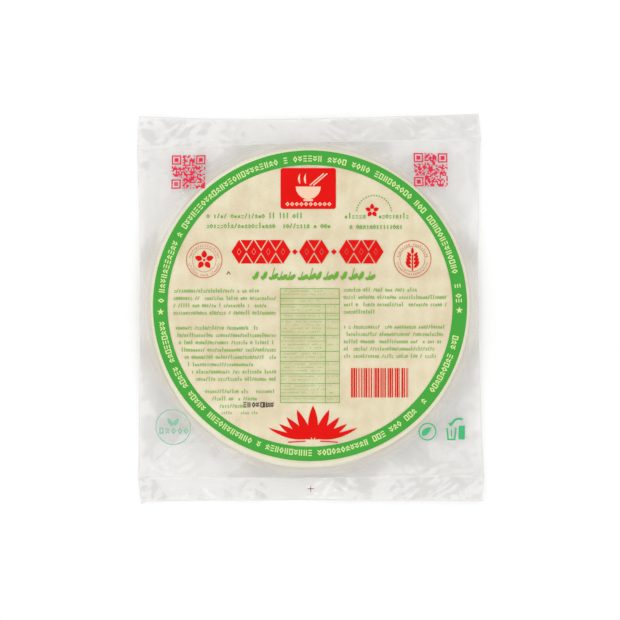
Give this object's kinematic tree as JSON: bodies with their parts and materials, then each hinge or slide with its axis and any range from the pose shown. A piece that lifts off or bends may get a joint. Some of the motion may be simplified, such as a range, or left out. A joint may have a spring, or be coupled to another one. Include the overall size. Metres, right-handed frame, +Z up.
{
  "type": "rice paper wrapper stack",
  "caption": "Round stack of dried rice paper wrappers sealed flat in a clear printed film bag with side folds, welded ends and loose end flaps.",
  "frame": {"origin": "middle of the stack's underside, on the table", "axes": "+Z up out of the printed side, +Y towards the upper weld of the bag, +X to the right of the printed side"},
  "size_m": [0.2394, 0.2694, 0.0152],
  "materials": {
    "film": "clear, thin and creased",
    "rice_paper": "matt, mottled cream",
    "green_print": "ink on film",
    "pale_print": "ink on film",
    "red_print": "ink on film",
    "dark_print": "ink on film"
  },
  "bodies": {
    "root": {"rice_paper_pack": "film"}
  },
  "joints": []
}
